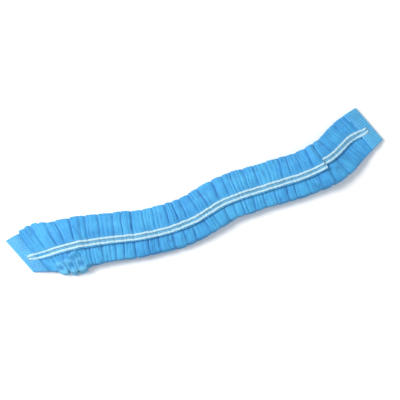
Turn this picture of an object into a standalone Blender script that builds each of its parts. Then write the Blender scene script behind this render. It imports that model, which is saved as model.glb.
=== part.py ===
"""A disposable strip cap of light blue nonwoven, folded as it leaves the pack.

One sheet is folded to and fro like an accordion into a narrow strip. Its two short ends are
fused flat, and two elastic threads along each of its two hems draw it up into cross puckers.
One hem lies along the middle of the upper face, and the other along the underside.

X runs along the strip, Y across it towards its back edge, and Z up from what it lies on.
"""

import math
from types import SimpleNamespace

import bmesh
import bpy
import numpy as np

MM = 0.001
FRONT, BACK = -1, 1

# The folded pack
STRIP_LENGTH = 225 * MM  # from cut end to cut end, in a straight line
STRIP_WIDTH = 27 * MM  # over the long edges, where the width share is 1
FULL_LAYERS = 3  # layers that reach from one long edge to the other
LAYER_PITCH = 1.65 * MM  # from the middle of one layer to the middle of the next
WALL = 1.0 * MM  # the cloth's thickness
FOLD_SEGMENTS = 2  # facets round a fold
CORNER_LIMIT = 0.9  # least cosine that widens the wall at a corner of its path

# The fused ends
WELD_LENGTH = 9 * MM
WELD_PITCH = 0.62 * MM  # layer to layer, where they run into the weld
WELD_WALL = 0.45 * MM  # the cloth's thickness there
WELD_GRIP = 3 * MM  # how far the layers run into the weld
WELD_COVER = 0.12 * MM  # fused cloth outside the layers that it holds
WELD_RIM = 1.7 * MM  # the weld's thickness at the cut
WELD_SLOPE = 0.9  # how far it thins towards the cut, as a share of what lies past the layers
MERGE_REACH = 0.03 * MM  # points closer than this become one, where the weld meets the layers
END_RUN = 24 * MM  # from the weld to the full height of the pack
LEFT_SKEW_DEG = 28  # slant of the cut ends
RIGHT_SKEW_DEG = -2
SKEW_RUN = 50 * MM  # from the cut to where the slant has died away

# The puckers
PUCKER_PITCH = 6.6 * MM
PUCKER_HEIGHT = 0.65 * MM  # half of crest to valley on the upper layer, at its long edges
PUCKER_CREST = 0.4  # place of the crest, as a share of its pucker
PUCKER_AT_THREADS = 0.15  # share of the height that is left along the threads
PUCKER_AT_WELD = 0.4  # share that is left beside the welds
QUIET_RUN = 4.5 * MM  # from beside the upper threads to a pucker's full height
SCALLOP = 0.45 * MM  # how far a crest pushes the long edge out

# The elastic threads and the hems that they run along
THREAD_WIDTH = 1.3 * MM
THREAD_HEIGHT = 0.7 * MM
THREAD_SIDES = 6  # facets round a thread
THREAD_SPACING = 2.8 * MM  # middle to middle in a pair
THREAD_OFFSET = 2.6 * MM  # middle of a pair from the middle of the strip, towards the hem's edge
THREAD_INSET = 3.5 * MM  # from the cut to the upper threads' ends
THREAD_FLAT = 0.45  # share of a thread's height that is left beside the weld
HEM_MARGIN = 0.7 * MM  # cloth from the outer thread to the hem's edge
CLEARANCE = 0.3 * MM  # between a thread and the cloth
FLOOR_GAP = 0.15 * MM  # under the lower threads

# How the layers settle over the lower hem
RAMP_RUN = 1.6 * MM  # where a layer climbs over the lower threads
DROP_SHARE = 0.8  # share of the way from the lower hem's edge to the back where they come down
LIFT_LOSS = 0.7  # share of that climb that the layers above have evened out
MID_SHARE = 0.6  # place of the row of points between the lower threads and the front edge

# Shares along the strip. sideways is a share of the strip's length, the rest are shares
# of the width and of the full height.
COURSE = (
    ("along", "sideways", "width", "height"),
    (
        (0.00, 0.000, 0.80, 1.00),
        (0.05, -0.005, 0.99, 1.06),
        (0.12, -0.012, 1.08, 1.10),
        (0.23, -0.030, 1.06, 1.04),
        (0.34, -0.053, 1.00, 0.96),
        (0.45, -0.057, 0.97, 0.95),
        (0.56, -0.036, 0.98, 1.00),
        (0.68, -0.036, 0.96, 0.96),
        (0.80, -0.038, 0.95, 1.02),
        (0.87, -0.027, 1.00, 1.06),
        (0.93, 0.004, 1.02, 1.00),
        (1.00, 0.032, 0.92, 1.00),
    ),
)
# Each fold from the lowest up: its reach as a share of the half width, and how much of the
# ruffle it takes part in.
FOLDS = (
    ("reach", "ruffle"),
    ((1.02, 1.0), (1.00, 0.9), (0.98, 0.4), (0.99, 0.8)),
)
# How far the folds are pushed out along each long edge: shares of the half width.
RUFFLES = (
    ("along", "front", "back"),
    (
        (0.00, 0.00, 0.00),
        (0.04, 0.00, 0.00),
        (0.07, 0.06, 0.14),
        (0.12, 0.16, 0.04),
        (0.19, 0.03, 0.00),
        (0.30, 0.00, 0.02),
        (0.45, 0.06, 0.03),
        (0.62, 0.00, 0.00),
        (0.78, 0.07, 0.02),
        (0.96, 0.00, 0.00),
        (1.00, 0.00, 0.00),
    ),
)
# Crosswise tucks: height as a share of the pack's height, half length as a share of the
# strip's length, how far the threads step back there as a share of the width, and how far
# the tuck runs along the strip for each step across it, in front of the threads.
TUCKS = (
    ("along", "height", "half_length", "step", "slant"),
    (
        (0.165, 0.13, 0.026, 0.0, 2.2),
        (0.335, 0.07, 0.022, 0.0, 0.0),
        (0.825, 0.20, 0.020, 0.10, 0.0),
    ),
)
STEP_END, STEP_END_RUN = 0.93, 0.06  # where the threads come back, as shares of the length
TURN_REACH = 0.004  # the share of the length over which the course's direction is read
# What makes the puckers uneven: each row adds size * sin(rate * number + start).
UNEVEN_PITCH = (("size", "rate", "start"), ((0.20, 2.4, 0.0), (0.12, 5.1, 1.0)))
UNEVEN_HEIGHT = (("size", "rate", "start"), ((0.22, 1.7, 0.5),))

SHEET_COLOUR, SHEET_ROUGHNESS = (0.055, 0.36, 0.80), 0.75
THREAD_COLOUR, THREAD_ROUGHNESS = (0.66, 0.80, 0.86), 0.6

LAYERS = FULL_LAYERS + 2
TOP = LAYERS - 1
TOP_HEM_SIDE = FRONT if TOP % 2 == 0 else BACK
HEM_REACH = THREAD_OFFSET + THREAD_SPACING / 2 + THREAD_WIDTH / 2 + HEM_MARGIN
CHANNEL_START = THREAD_OFFSET - THREAD_SPACING / 2 - THREAD_WIDTH / 2 - CLEARANCE - WALL / 2
PACK_HEIGHT = TOP * LAYER_PITCH + WALL
WELD_HEIGHT = TOP * WELD_PITCH + WELD_WALL + 2 * WELD_COVER


def column(table, name):
    names, rows = table
    return np.array([row[names.index(name)] for row in rows], float)


def smooth_step(t):
    t = np.clip(t, 0, 1)
    return t * t * (3 - 2 * t)


def through(table, name, share):
    """A smooth curve through one column of a table, read at the given shares along."""
    at, value = column(table, "along"), column(table, name)
    slope = np.gradient(value, at)
    share = np.clip(share, at[0], at[-1])
    i = np.clip(np.searchsorted(at, share) - 1, 0, len(at) - 2)
    span = at[i + 1] - at[i]
    t = (share - at[i]) / span
    start = (1 + 2 * t) * (1 - t) ** 2 * value[i] + t * (1 - t) ** 2 * span * slope[i]
    end = t * t * (3 - 2 * t) * value[i + 1] - t * t * (1 - t) * span * slope[i + 1]
    return start + end


def place(x, across, height):
    """A point of the straight strip, carried onto its curved course on the floor."""
    near_left = 1 - smooth_step(x / SKEW_RUN)
    near_right = 1 - smooth_step((STRIP_LENGTH - x) / SKEW_RUN)
    slant = near_left * math.tan(math.radians(LEFT_SKEW_DEG))
    slant = slant + near_right * math.tan(math.radians(RIGHT_SKEW_DEG))
    share = (x - across * slant) / STRIP_LENGTH
    inside = np.clip(share, 0, 1)
    before, after = np.clip(inside - TURN_REACH, 0, 1), np.clip(inside + TURN_REACH, 0, 1)
    slope = through(COURSE, "sideways", after) - through(COURSE, "sideways", before)
    slope = slope / (after - before)
    sideways = through(COURSE, "sideways", inside) + (share - inside) * slope
    turn = np.arctan(slope)
    return np.stack(
        [
            STRIP_LENGTH * share - across * np.sin(turn),
            STRIP_LENGTH * sideways + across * np.cos(turn),
            height + 0 * share,
        ],
        axis=-1,
    )


def uneven(table, number):
    return sum(size * np.sin(rate * number + start) for size, rate, start in table[1])


def pucker_stations():
    """Places along the strip of each section, and its wave: 1 on a crest and -1 in a valley."""
    first, last = WELD_LENGTH, STRIP_LENGTH - WELD_LENGTH
    count = round((last - first) / PUCKER_PITCH)
    number = np.arange(count)
    pitches = 1 + uneven(UNEVEN_PITCH, number)
    heights = 1 + uneven(UNEVEN_HEIGHT, number)
    edges = first + (last - first) * np.concatenate([[0], np.cumsum(pitches)]) / pitches.sum()
    crests = edges[:-1] + PUCKER_CREST * np.diff(edges)
    x = np.stack([edges[:-1], crests], axis=1).ravel()
    wave = np.stack([-heights, heights], axis=1).ravel()
    wave[0] = 0
    x = np.concatenate([[first - WELD_GRIP], x, [last, last + WELD_GRIP]])
    wave = np.concatenate([[0], wave, [0, 0]])
    return x, wave


def along_strip(x, wave):
    """Everything that changes along the strip, at each station."""
    share = x / STRIP_LENGTH
    from_weld = np.minimum(x, STRIP_LENGTH - x) - WELD_LENGTH
    rise = smooth_step(from_weld / END_RUN)
    height = 1 + (through(COURSE, "height", share) - 1) * rise
    step = 0 * x
    for at, _, half_length, back, _ in TUCKS[1]:
        step = step + back * STRIP_WIDTH * smooth_step((share - at) / half_length)
    thread_height = THREAD_HEIGHT * (THREAD_FLAT + (1 - THREAD_FLAT) * rise)
    half_width = STRIP_WIDTH / 2 * through(COURSE, "width", share)
    pitch = WELD_PITCH + (LAYER_PITCH * height - WELD_PITCH) * rise
    wall = WELD_WALL + (WALL - WELD_WALL) * rise
    nearest_fold = half_width * column(FOLDS, "reach").min() - (pitch + wall) / 2
    return SimpleNamespace(
        x=x,
        share=share,
        rise=rise,
        wave=wave * (PUCKER_AT_WELD + (1 - PUCKER_AT_WELD) * rise),
        half_width=half_width,
        drop_run=DROP_SHARE * (nearest_fold - HEM_REACH),
        pitch=pitch,
        wall=wall,
        floor=WELD_COVER * (1 - np.clip(from_weld / WELD_GRIP, 0, 1)),
        thread_height=thread_height,
        lift=np.where(from_weld < 0, 0, FLOOR_GAP + thread_height + CLEARANCE),
        step=step * (1 - smooth_step((share - STEP_END) / STEP_END_RUN)),
    )


def tuck_height(strip, across):
    """How far the tucks raise the top layer at a place across the strip."""
    in_front = np.minimum(across - TOP_HEM_SIDE * THREAD_OFFSET, 0)
    height = 0
    for at, tall, half_length, _, slant in TUCKS[1]:
        away = np.abs(strip.share - slant * in_front / STRIP_LENGTH - at)
        height = height + tall * PACK_HEIGHT * np.clip(1 - away / half_length, 0, 1)
    return height * strip.rise


def layer_height(strip, layer, across):
    """Height of the middle of a layer, counted from the lowest, at a place across the strip."""
    depth = layer / TOP
    over_hem = np.interp(across, [CHANNEL_START - RAMP_RUN, CHANNEL_START], [0, 1])
    down = np.clip((across - HEM_REACH) / strip.drop_run, 0, 1)
    from_threads = np.abs(across - TOP_HEM_SIDE * THREAD_OFFSET) - (THREAD_SPACING + THREAD_WIDTH) / 2
    free = PUCKER_AT_THREADS + (1 - PUCKER_AT_THREADS) * smooth_step(from_threads / QUIET_RUN)
    return (
        strip.floor
        + strip.wall / 2
        + strip.pitch * (layer - (down if layer else 0))
        + strip.lift * over_hem * (1 - down) * (1 - LIFT_LOSS * strip.rise * depth)
        + depth * (PUCKER_HEIGHT * strip.wave * free + tuck_height(strip, across))
    )


def fold_reach(strip, fold):
    """How far a fold's straight part reaches from the middle of the strip."""
    rows = len(FOLDS[1])
    reach = column(FOLDS, "reach")[fold % rows]
    ruffle = column(FOLDS, "ruffle")[fold % rows]
    out = reach + ruffle * through(RUFFLES, "front" if fold % 2 == 0 else "back", strip.share)
    return strip.half_width * out - (strip.pitch + strip.wall) / 2 + SCALLOP * strip.wave


def layer_points(strip, layer):
    """The places across the strip of a layer's rows of points, from the front to the back."""
    even = np.ones_like(strip.x)
    inner = [
        -MID_SHARE * strip.half_width,
        (CHANNEL_START - RAMP_RUN) * even,
        CHANNEL_START * even,
        HEM_REACH * even,
        HEM_REACH + strip.drop_run,
    ]
    front = -fold_reach(strip, layer if layer % 2 == 0 else layer - 1)
    back = fold_reach(strip, layer - 1 if layer % 2 == 0 else layer)
    if layer == 0:
        return [front, *inner[:4]]
    if layer < TOP:
        return [front, *inner, back]
    hem = TOP_HEM_SIDE * HEM_REACH + strip.step
    return [hem, *inner[2:], back] if TOP_HEM_SIDE == FRONT else [front, *inner[:3], hem]


def folded_path(strip):
    """The rows of points of the whole sheet, from the lower hem's edge to the upper one."""
    across, height = [], []
    for layer in range(LAYERS):
        points = layer_points(strip, layer)
        heights = [layer_height(strip, layer, p) for p in points]
        if layer % 2 == 0:
            points, heights = points[::-1], heights[::-1]
        across += points
        height += heights
        if layer == TOP:
            break
        side = FRONT if layer % 2 == 0 else BACK
        edge = points[-1]
        above = layer_height(strip, layer + 1, edge)
        middle, radius = (heights[-1] + above) / 2, (above - heights[-1]) / 2
        for k in range(1, FOLD_SEGMENTS):
            turn = math.pi * (k / FOLD_SEGMENTS - 0.5)
            across.append(edge + side * radius * math.cos(turn))
            height.append(middle + radius * math.sin(turn))
    return np.array(across), np.array(height)


def wall_sides(across, height, wall):
    """Both sides of the cloth, half a wall from its middle, square to each section's path."""
    run, climb = np.diff(across, axis=0), np.diff(height, axis=0)
    long = np.hypot(run, climb)
    normal = np.stack([-climb / long, run / long])
    before = np.concatenate([normal[:, :1], normal], axis=1)
    after = np.concatenate([normal, normal[:, -1:]], axis=1)
    between = (before + after) / 2
    corner = np.hypot(*between)
    offset = between / corner / np.maximum(corner, CORNER_LIMIT) * wall / 2
    return (across + offset[0], height + offset[1]), (across - offset[0], height - offset[1])


def mesh_object(name, points, faces):
    mesh = bpy.data.meshes.new(name)
    mesh.from_pydata([tuple(p) for p in points], [], faces)
    mesh.validate()
    thing = bpy.data.objects.new(name, mesh)
    bpy.context.scene.collection.objects.link(thing)
    return thing


def thick_grid(name, one_side, other_side, backwards):
    """A closed solid between two grids of points that lie over each other.

    Rows that run backwards are cut along their other diagonal, so that the facets of
    layers that lie over each other match.
    """
    rows, columns = one_side.shape[:2]
    index = np.arange(2 * rows * columns).reshape(2, rows, columns)
    faces = []
    for side in index:
        a, b, c, d = side[:-1, :-1], side[:-1, 1:], side[1:, 1:], side[1:, :-1]
        plain = np.stack([a, b, c, a, c, d], axis=-1)
        turned = np.stack([a, b, d, b, c, d], axis=-1)
        faces += np.where(backwards[:, None, None], turned, plain).reshape(-1, 3).tolist()
    for edge in (index[:, :, 0], index[:, :, -1], index[:, 0], index[:, -1]):
        rim = np.stack([edge[0, :-1], edge[0, 1:], edge[1, 1:], edge[1, :-1]], axis=-1)
        faces += rim.tolist()
    points = np.concatenate([one_side.reshape(-1, 3), other_side.reshape(-1, 3)])
    thing = mesh_object(name, points, faces)
    face_outwards(thing)
    return thing


def loft(name, rings):
    """A closed solid through rings that have the same number of points, with flat ends."""
    count, sides = rings.shape[:2]
    index = np.arange(count * sides).reshape(count, sides)
    beside = np.roll(index, -1, axis=1)
    faces = np.stack([index[:-1], beside[:-1], beside[1:], index[1:]], axis=-1)
    faces = [*faces.reshape(-1, 4).tolist(), index[0, ::-1].tolist(), index[-1].tolist()]
    thing = mesh_object(name, rings.reshape(-1, 3), faces)
    face_outwards(thing)
    return thing


def face_outwards(thing):
    work = bmesh.new()
    work.from_mesh(thing.data)
    bmesh.ops.recalc_face_normals(work, faces=work.faces)
    work.to_mesh(thing.data)
    work.free()


def weld_block(name, side):
    """The fused cloth at one end, thinner towards its cut."""
    from_cut = np.array([0, WELD_SLOPE * (WELD_LENGTH - WELD_GRIP), WELD_LENGTH])
    x = from_cut if side < 0 else STRIP_LENGTH - from_cut
    half = STRIP_WIDTH / 2 * through(COURSE, "width", x / STRIP_LENGTH) * column(FOLDS, "reach").max()
    half = half + WELD_COVER
    top = np.array([WELD_RIM, WELD_HEIGHT, WELD_HEIGHT])
    corners = [place(x, -half, 0 * x), place(x, half, 0 * x), place(x, half, top), place(x, -half, top)]
    return loft(name, np.stack(corners, axis=1))


def apply_modifiers(thing):
    seen = thing.evaluated_get(bpy.context.evaluated_depsgraph_get())
    solid = bpy.data.meshes.new_from_object(seen)
    thing.modifiers.clear()
    thing.data = solid


def merge_slivers(thing):
    """Joins the points that the union leaves almost on top of each other."""
    work = bmesh.new()
    work.from_mesh(thing.data)
    bmesh.ops.remove_doubles(work, verts=work.verts, dist=MERGE_REACH)
    bmesh.ops.dissolve_degenerate(work, edges=work.edges, dist=MERGE_REACH)
    work.to_mesh(thing.data)
    work.free()


def flatten_underside(thing):
    """Cloth rests flat: whatever would reach below the floor lies on it."""
    for vertex in thing.data.vertices:
        vertex.co.z = max(vertex.co.z, 0)


def cap_sheet(strip):
    across, height = folded_path(strip)
    one_side, other_side = wall_sides(across, height, strip.wall)
    backwards = np.diff(across, axis=0).mean(axis=1) < 0
    sheet = thick_grid("cap_sheet", place(strip.x, *one_side), place(strip.x, *other_side), backwards)
    welds = [weld_block("left_weld", -1), weld_block("right_weld", 1)]
    for weld in welds:
        union = sheet.modifiers.new("Weld", "BOOLEAN")
        union.operation = "UNION"
        union.solver = "EXACT"
        union.object = weld
    apply_modifiers(sheet)
    for weld in welds:
        bpy.data.objects.remove(weld)
    merge_slivers(sheet)
    flatten_underside(sheet)
    return sheet


def upper_surface(strip, across):
    """Height of the middle of the top layer under a thread, along its flat facets."""
    points = np.array(layer_points(strip, TOP))
    heights = np.array([layer_height(strip, TOP, p) for p in points])
    return np.array([np.interp(across[i], points[:, i], heights[:, i]) for i in range(len(across))])


def thread(name, across, height, strip):
    """An oval thread along the strip, with a section at each station."""
    turn = np.arange(THREAD_SIDES) * 2 * math.pi / THREAD_SIDES
    wide = THREAD_WIDTH / 2 * np.cos(turn)
    tall = strip.thread_height[:, None] / 2 * np.sin(turn) / np.sin(turn).max()
    rings = place(strip.x[:, None], across[:, None] + wide, height[:, None] + tall)
    return loft(name, rings)


def elastic_threads(x, wave):
    """Both pairs: one on the upper face, and one in its channel on the underside."""
    threads = []
    for row, side in (("front", FRONT), ("back", BACK)):
        ends = [THREAD_INSET, STRIP_LENGTH - THREAD_INSET]
        strip = along_strip(np.concatenate([ends[:1], x[1:-1], ends[1:]]), wave)
        across = TOP_HEM_SIDE * THREAD_OFFSET + side * THREAD_SPACING / 2 + strip.step
        surface = upper_surface(strip, across) + strip.wall / 2
        surface = np.where(strip.rise > 0, surface, np.maximum(surface, WELD_HEIGHT))
        height = surface + CLEARANCE + strip.thread_height / 2
        threads.append(thread(f"upper_elastic_{row}", across, height, strip))

        ends = [WELD_LENGTH + CLEARANCE, STRIP_LENGTH - WELD_LENGTH - CLEARANCE]
        strip = along_strip(np.concatenate([ends[:1], x[2:-2], ends[1:]]), wave[1:-1])
        across = THREAD_OFFSET + side * THREAD_SPACING / 2 + 0 * strip.x
        height = FLOOR_GAP + strip.thread_height / 2
        threads.append(thread(f"lower_elastic_{row}", across, height, strip))
    return threads


def paint(thing, name, colour, roughness):
    material = bpy.data.materials.new(name)
    material.use_nodes = True
    shader = material.node_tree.nodes["Principled BSDF"]
    shader.inputs["Base Color"].default_value = (*colour, 1)
    shader.inputs["Roughness"].default_value = roughness
    shader.inputs["Metallic"].default_value = 0
    material.diffuse_color = (*colour, 1)
    thing.data.materials.clear()
    thing.data.materials.append(material)


def centre_on_floor(things):
    """Puts the origin under the middle of the pieces' common box, on the floor."""
    points = np.array([v.co for thing in things for v in thing.data.vertices])
    middle = (points.min(axis=0) + points.max(axis=0)) / 2
    for thing in things:
        for vertex in thing.data.vertices:
            vertex.co.x -= middle[0]
            vertex.co.y -= middle[1]


def main():
    for thing in list(bpy.data.objects):
        bpy.data.objects.remove(thing)
    x, wave = pucker_stations()
    sheet = cap_sheet(along_strip(x, wave))
    threads = elastic_threads(x, wave)
    centre_on_floor([sheet, *threads])
    paint(sheet, "nonwoven_blue", SHEET_COLOUR, SHEET_ROUGHNESS)
    for thing in threads:
        paint(thing, "elastic_white", THREAD_COLOUR, THREAD_ROUGHNESS)


main()
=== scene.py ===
# A disposable strip cap of light blue nonwoven, folded as it leaves the pack.
# The sheet lies to and fro in thin layers that nest in one set of puckers.
# Lengths are in millimetres and mm turns them into metres; the rest are shares.

import math
from types import SimpleNamespace

import bmesh
import bpy
import numpy as np
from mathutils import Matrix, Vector


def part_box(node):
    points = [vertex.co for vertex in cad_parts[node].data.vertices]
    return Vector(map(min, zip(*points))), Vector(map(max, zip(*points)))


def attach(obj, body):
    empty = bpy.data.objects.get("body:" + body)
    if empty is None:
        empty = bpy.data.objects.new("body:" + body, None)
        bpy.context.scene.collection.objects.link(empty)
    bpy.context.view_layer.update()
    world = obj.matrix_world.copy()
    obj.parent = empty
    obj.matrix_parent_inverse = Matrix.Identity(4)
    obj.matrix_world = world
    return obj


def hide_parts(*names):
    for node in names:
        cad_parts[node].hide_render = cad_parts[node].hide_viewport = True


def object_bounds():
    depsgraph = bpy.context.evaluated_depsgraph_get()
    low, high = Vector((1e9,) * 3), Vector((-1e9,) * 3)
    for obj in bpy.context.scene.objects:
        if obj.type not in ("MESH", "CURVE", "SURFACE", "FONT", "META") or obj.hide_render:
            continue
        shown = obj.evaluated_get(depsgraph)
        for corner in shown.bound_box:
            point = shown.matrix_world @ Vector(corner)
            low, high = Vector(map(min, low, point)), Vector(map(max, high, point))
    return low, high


mm = 0.001
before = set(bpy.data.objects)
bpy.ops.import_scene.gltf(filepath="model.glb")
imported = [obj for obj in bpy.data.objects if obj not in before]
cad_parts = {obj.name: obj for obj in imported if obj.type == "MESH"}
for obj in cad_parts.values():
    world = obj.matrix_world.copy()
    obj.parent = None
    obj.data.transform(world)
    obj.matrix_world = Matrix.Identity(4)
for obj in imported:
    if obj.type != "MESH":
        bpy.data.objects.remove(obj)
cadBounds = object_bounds()
print("frame loaded")


# Camera, at the photograph's angle to the strip

view = {
    "elevation": 77,  # degrees above the floor
    "azimuth": -19.5,  # turned round the strip, so that it climbs to the right
    "distance": 900,
    "lens": 136,
}


def standBack(name, data, aim, away):
    # an object at aim + away, which faces back to aim
    thing = bpy.data.objects.new(name, data)
    thing.location = aim + away
    thing.rotation_mode = "QUATERNION"
    thing.rotation_quaternion = (-away).to_track_quat("-Z", "Y")
    bpy.context.scene.collection.objects.link(thing)
    return thing


def placeCamera(values):
    # it stands back from the middle of the box along the direction that the two angles give
    turn, rise = math.radians(values["azimuth"]), math.radians(values["elevation"])
    back = Vector((math.sin(turn) * math.cos(rise), -math.cos(turn) * math.cos(rise), math.sin(rise)))
    middle = (cadBounds[0] + cadBounds[1]) / 2
    data = bpy.data.cameras.new("camera")
    data.lens = values["lens"]
    bpy.context.scene.camera = standBack("camera", data, middle, back * values["distance"] * mm)
    bpy.context.scene.view_settings.view_transform = "Standard"


placeCamera(view)
print("camera placed")


# The strip: how it lies, and how wide and high it is along its length

strip = {
    "length": 225,
    "width": 27,
    "height": 7.6,  # of the pack, at its full height
    "backHeight": 5.95,  # behind the lower hem, where one layer is missing
    "weldLength": 9,
    "weldGrip": 3,  # how far the layers run into the weld
    "weldWidth": 1.02,  # as a share of the strip's width there
    "weldHeight": 2.93,  # of the layers that it holds
    "weldCover": 0.12,  # fused cloth outside those layers
    "weldRim": 1.7,  # height at the cut
    "weldSlope": 5.4,  # from the cut to the weld's full height
    "endRun": 24,  # from the weld to the full height of the pack
    "leftSlant": 28,  # degrees
    "rightSlant": -2,
    "slantRun": 50,  # from the cut to where the slant has died away
    "turnReach": 0.004,  # share of the length over which the course's direction is read
    "threadOffset": 2.6,  # middle of a pair from the middle of the strip
    "threadSpacing": 2.8,
    "threadWidth": 1.3,
    "threadHeight": 0.7,
    "threadFlat": 0.45,  # share of a thread's height that is left beside the weld
    "threadInset": 3.5,  # from the cut to an upper thread's end
    "threadGap": 0.3,  # between a lower thread and the cloth above it
    "floorGap": 0.15,  # below a lower thread
    "hemReach": 5.35,  # from the middle to a hem's free edge
    "rampStart": -1.85,  # where the cloth climbs over the lower threads
    "rampEnd": -0.25,
    "dropShare": 0.8,  # of the way from the lower hem's edge to the back
    "dropEdge": 0.98,  # where that way ends, as a share of the half width
    "dropMargin": 1.3,  # and how far before it
    "liftLoss": 0.7,  # share of that climb that the layers above have evened out
    "stepEnd": 0.93,  # where the threads start to come back from their steps
    "stepEndRun": 0.06,
}
weldTop = strip["weldHeight"] + 2 * strip["weldCover"]
course = {
    "along": (0.00, 0.05, 0.12, 0.23, 0.34, 0.45, 0.56, 0.68, 0.80, 0.87, 0.93, 1.00),
    "sideways": (0.000, -0.005, -0.012, -0.030, -0.053, -0.057, -0.036, -0.036, -0.038, -0.027, 0.004, 0.032),
    "width": (0.80, 0.99, 1.08, 1.06, 1.00, 0.97, 0.98, 0.96, 0.95, 1.00, 1.02, 0.92),
    "height": (1.00, 1.06, 1.10, 1.04, 0.96, 0.95, 1.00, 0.96, 1.02, 1.06, 1.00, 1.00),
}
# How far the folds are pushed out along each long edge, as shares of the half width.
ruffles = {
    "along": (0.00, 0.04, 0.07, 0.12, 0.19, 0.30, 0.45, 0.62, 0.78, 0.96, 1.00),
    "front": (0.00, 0.00, 0.06, 0.16, 0.03, 0.00, 0.06, 0.00, 0.07, 0.00, 0.00),
    "back": (0.00, 0.00, 0.14, 0.04, 0.00, 0.02, 0.03, 0.00, 0.02, 0.00, 0.00),
}
# Crosswise tucks. height is a share of the pack's, step how far the threads step back as a
# share of the width, slant how far a tuck runs along the strip for each step across in front
# of the hem, and lean how far its top leans along the strip, in mm.
tucks = {
    "along": (0.165, 0.335, 0.825),
    "height": (0.13, 0.07, 0.20),
    "halfLength": (0.026, 0.022, 0.020),
    "step": (0.0, 0.0, 0.10),
    "slant": (2.8, 0.0, 0.0),
    "lean": (-2.0, 0.4, 4.2),
}
tuckForm = {
    "sharpness": 1.5,
    "leanLoss": 0.65,  # share of the lean that is gone at the back
    "leanStart": -8,  # across the strip, where the loss starts
    "leanRun": 16,
    "crestAt": -0.2,  # two lines on the first tuck, in half lengths from its middle
    "crestWidth": 0.16,
    "footAt": -0.7,
    "footWidth": 0.25,
}
# Round lobes near the left end, a few along each long edge.
frills = {
    "start": {"front": 14.0, "back": 9.6},
    "pitch": {"front": 8.1, "back": 3.8},
    "count": {"front": 3, "back": 4},
    "endRun": 0.25,  # over which the first and the last lobe come up, in pitches
    "out": {"front": 3.0, "back": 1.3},
    "inward": {"front": 1.0, "back": 0.3},  # how much of that lies inside the edge
    "neck": {"front": 0.95, "back": 0.3},  # how far a lobe bulges over its neighbours' necks
    "roundness": 2.6,
    "edgeRun": 5.5,  # from the edge to where the bulge has died away
    "dimple": 0.8,  # deep, as a share of the way to the next layer
    "dimpleAt": 3.2,  # from a front lobe's edge
    "dimpleLong": 0.17,  # in pitches
    "dimpleWide": 1.4,
    "ringAt": 1.85,  # in the dimple's radius
    "ringWidth": 0.5,
    "ring": 0.25,
    "crease": 0.7,  # between two lobes, from the hem outwards, as a share of the same
    "creaseLong": 0.07,  # in pitches
    "creaseRun": 4,  # from the hem to its full depth
}


def smoothStep(t):
    # 3t^2 - 2t^3 between 0 and 1, flat outside
    t = np.clip(t, 0, 1)
    return t * t * (3 - 2 * t)


def blend(start, end, share):
    # start at a share of 0, end at 1, and evenly between them
    return start + (end - start) * share


def bell(away, width=1):
    # 1 in the middle, and falling off on both sides as a normal curve does
    return np.exp(-((away / width) ** 2))


def through(table, name, share):
    # a cubic through the table's points, with the slopes of their neighbours
    at, value = np.array(table["along"]), np.array(table[name])
    slope = np.gradient(value, at)
    share = np.clip(share, at[0], at[-1])
    i = np.clip(np.searchsorted(at, share) - 1, 0, len(at) - 2)
    span = at[i + 1] - at[i]
    t = (share - at[i]) / span
    start = (1 + 2 * t) * (1 - t) ** 2 * value[i] + t * (1 - t) ** 2 * span * slope[i]
    end = t * t * (3 - 2 * t) * value[i + 1] - t * t * (1 - t) * span * slope[i + 1]
    return start + end


def softNoise(u, v, lengths, seed, waves=11):
    # plane waves of seeded directions, lengths and phases, added up to about -1 to 1
    random = np.random.default_rng(seed)
    circle, total = (0, math.tau), 0
    turns, longs, starts = (random.uniform(*ends, waves) for ends in (circle, lengths, circle))
    for turn, long, start in zip(turns, longs, starts):
        total = total + np.sin((u * math.cos(turn) + v * math.sin(turn)) * math.tau / long + start)
    return total / math.sqrt(2 * waves)


def onCourse(x, across, height):
    # the straight strip bent sideways along its course: each point is set off square to
    # the course by its place across, after the ends have been slanted
    length = strip["length"]
    nearLeft = 1 - smoothStep(x / strip["slantRun"])
    nearRight = 1 - smoothStep((length - x) / strip["slantRun"])
    slant = nearLeft * math.tan(math.radians(strip["leftSlant"]))
    slant = slant + nearRight * math.tan(math.radians(strip["rightSlant"]))
    share = (x - across * slant) / length
    inside = np.clip(share, 0, 1)
    reach = strip["turnReach"]
    before, after = np.clip([inside - reach, inside + reach], 0, 1)
    start, middle, end = (through(course, "sideways", at) for at in (before, inside, after))
    slope = (end - start) / (after - before)
    sideways = middle + (share - inside) * slope
    turn = np.arctan(slope)
    x, y = length * share - across * np.sin(turn), length * sideways + across * np.cos(turn)
    return np.stack([x, y, height + 0 * share], axis=-1)


def weldHalfWidth(x):
    # half of the strip's width at the weld, a little wider, and its cover
    half = strip["width"] / 2 * through(course, "width", x / strip["length"])
    return half * strip["weldWidth"] + strip["weldCover"]


def frameOffset():
    # the solids were centred by their box, so the weld's outermost corners give the shift
    x = np.array([0, 0, strip["length"], strip["length"]])
    half = weldHalfWidth(x) * np.array([-1, 1, -1, 1])
    corners = onCourse(x, half, 0 * x)
    low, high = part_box("cap_sheet")
    return np.array([low.x / mm - corners[:, 0].min(), high.y / mm - corners[:, 1].max(), 0])


offset = frameOffset()


# The puckers

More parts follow.
